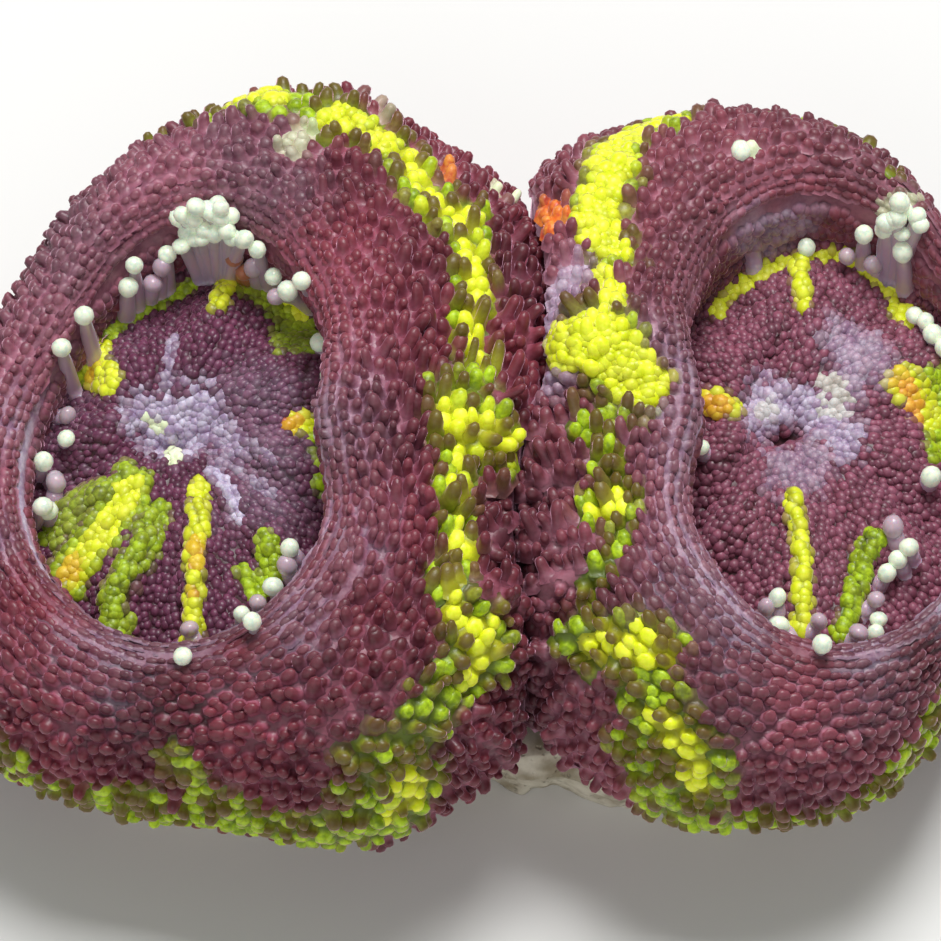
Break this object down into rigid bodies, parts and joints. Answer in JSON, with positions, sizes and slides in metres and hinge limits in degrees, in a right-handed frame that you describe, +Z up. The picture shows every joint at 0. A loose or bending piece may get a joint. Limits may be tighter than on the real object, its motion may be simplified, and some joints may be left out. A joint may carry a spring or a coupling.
{
  "type": "acan coral",
  "caption": "Acan coral with fleshy knobbly polyps pressed side by side on a low stub of pale skeleton that is cut flat to rest on a surface.",
  "frame": {"origin": "on the flat cut under the skeleton, below the crease between the polyps", "axes": "+X from the wide polyp to the narrow one, +Y to the far side, +Z up"},
  "size_m": [0.0422, 0.0289, 0.0147],
  "materials": {
    "wine_flesh": "moist soft skin, wine red with yellow-green bands and patches",
    "plum_flesh": "moist soft skin, plum red with a yellow-green band and pale lilac patches",
    "tentacle_beads": "milky beads on clear lilac stalks",
    "pale_skeleton": "matt porous limestone"
  },
  "bodies": {
    "root": {"left_polyp": "wine_flesh", "right_polyp": "plum_flesh", "skeleton": "pale_skeleton"}
  },
  "joints": []
}
